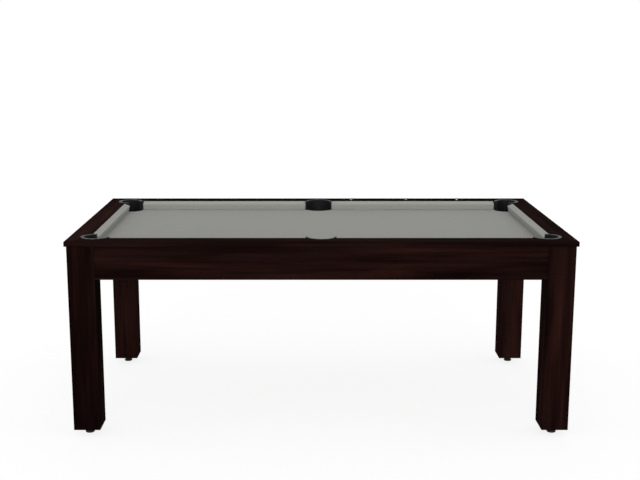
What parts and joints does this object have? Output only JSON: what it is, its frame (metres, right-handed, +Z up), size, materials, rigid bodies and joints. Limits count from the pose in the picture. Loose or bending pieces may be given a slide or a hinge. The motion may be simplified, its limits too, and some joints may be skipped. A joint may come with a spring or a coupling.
{
  "type": "convertible pool table",
  "caption": "Rectangular pool table with its bed open: dark wood rails, aprons and square legs, grey cloth, round drop pockets and levelling feet.",
  "frame": {"origin": "on the floor, under the centre of the table", "axes": "+X along the table to the right as seen from the front, +Y across it to the back, +Z up"},
  "size_m": [2.04, 1.13, 0.818],
  "materials": {
    "dark_wood": "very dark red-brown open-grain veneer, satin",
    "frame_timber": "planed softwood",
    "cushion_rubber": "moulded rubber",
    "cloth": "light warm grey napped wool cloth",
    "slate": "ground slate",
    "collar_plastic": "moulded black, fine texture",
    "cup_plastic": "moulded black",
    "plated_steel": "zinc plated",
    "pad_plastic": "moulded black",
    "sight_plastic": "pale pearl, flush and polished"
  },
  "bodies": {
    "table": {"back_apron": "dark_wood", "back_left_cushion_cover": "cloth", "back_left_cushion_rubber": "cushion_rubber", "back_left_leg": "dark_wood", "back_left_pocket_collar": "collar_plastic", "back_left_pocket_cup": "cup_plastic", "back_middle_pocket_collar": "collar_plastic", "back_middle_pocket_cup": "cup_plastic", "back_rail": "dark_wood", "back_right_cushion_cover": "cloth", "back_right_cushion_rubber": "cushion_rubber", "back_right_leg": "dark_wood", "back_right_pocket_collar": "collar_plastic", "back_right_pocket_cup": "cup_plastic", "back_stringer": "frame_timber", "bed_cloth": "cloth", "bed_slab": "slate", "foot_inserts": "plated_steel", "frame_brackets": "plated_steel", "front_apron": "dark_wood", "front_left_cushion_cover": "cloth", "front_left_cushion_rubber": "cushion_rubber", "front_left_leg": "dark_wood", "front_left_pocket_collar": "collar_plastic", "front_left_pocket_cup": "cup_plastic", "front_middle_pocket_collar": "collar_plastic", "front_middle_pocket_cup": "cup_plastic", "front_rail": "dark_wood", "front_right_cushion_cover": "cloth", "front_right_cushion_rubber": "cushion_rubber", "front_right_leg": "dark_wood", "front_right_pocket_collar": "collar_plastic", "front_right_pocket_cup": "cup_plastic", "front_stringer": "frame_timber", "left_apron": "dark_wood", "left_end_cushion_cover": "cloth", "left_end_cushion_rubber": "cushion_rubber", "left_inner_cross_beam": "frame_timber", "left_outer_cross_beam": "frame_timber", "left_rail": "dark_wood", "leg_joint_plates": "plated_steel", "rail_bolts": "plated_steel", "right_apron": "dark_wood", "right_end_cushion_cover": "cloth", "right_end_cushion_rubber": "cushion_rubber", "right_inner_cross_beam": "frame_timber", "right_outer_cross_beam": "frame_timber", "right_rail": "dark_wood", "sight_dots": "sight_plastic"},
    "front_left_foot_pad": {"front_left_foot_pad": "pad_plastic"},
    "front_left_foot_stem": {"front_left_foot_stem": "plated_steel"},
    "front_right_foot_pad": {"front_right_foot_pad": "pad_plastic"},
    "front_right_foot_stem": {"front_right_foot_stem": "plated_steel"},
    "back_left_foot_pad": {"back_left_foot_pad": "pad_plastic"},
    "back_left_foot_stem": {"back_left_foot_stem": "plated_steel"},
    "back_right_foot_pad": {"back_right_foot_pad": "pad_plastic"},
    "back_right_foot_stem": {"back_right_foot_stem": "plated_steel"}
  },
  "joints": [
    {"name": "front_left_foot_height", "type": "slide", "parent": "table", "child": "front_left_foot_pad", "axis": [0, 0, 1], "range_m": [-0.025, 0.005]},
    {"name": "front_left_stem_turn", "type": "hinge", "parent": "front_left_foot_pad", "child": "front_left_foot_stem", "pos_m": [-0.958, -0.4965, 0.01], "axis": [0, 0, 1], "range_deg": [-6001, 1201]},
    {"name": "front_right_foot_height", "type": "slide", "parent": "table", "child": "front_right_foot_pad", "axis": [0, 0, 1], "range_m": [-0.025, 0.005]},
    {"name": "front_right_stem_turn", "type": "hinge", "parent": "front_right_foot_pad", "child": "front_right_foot_stem", "pos_m": [0.958, -0.4965, 0.01], "axis": [0, 0, 1], "range_deg": [-6001, 1201]},
    {"name": "back_left_foot_height", "type": "slide", "parent": "table", "child": "back_left_foot_pad", "axis": [0, 0, 1], "range_m": [-0.025, 0.005]},
    {"name": "back_left_stem_turn", "type": "hinge", "parent": "back_left_foot_pad", "child": "back_left_foot_stem", "pos_m": [-0.958, 0.4965, 0.01], "axis": [0, 0, 1], "range_deg": [-6001, 1201]},
    {"name": "back_right_foot_height", "type": "slide", "parent": "table", "child": "back_right_foot_pad", "axis": [0, 0, 1], "range_m": [-0.025, 0.005]},
    {"name": "back_right_stem_turn", "type": "hinge", "parent": "back_right_foot_pad", "child": "back_right_foot_stem", "pos_m": [0.958, 0.4965, 0.01], "axis": [0, 0, 1], "range_deg": [-6001, 1201]}
  ],
  "couplings": [
    {"joint": "front_left_stem_turn", "follows": "front_left_foot_height", "rad_per_m": 4188.8},
    {"joint": "front_right_stem_turn", "follows": "front_right_foot_height", "rad_per_m": 4188.8},
    {"joint": "back_left_stem_turn", "follows": "back_left_foot_height", "rad_per_m": 4188.8},
    {"joint": "back_right_stem_turn", "follows": "back_right_foot_height", "rad_per_m": 4188.8}
  ]
}
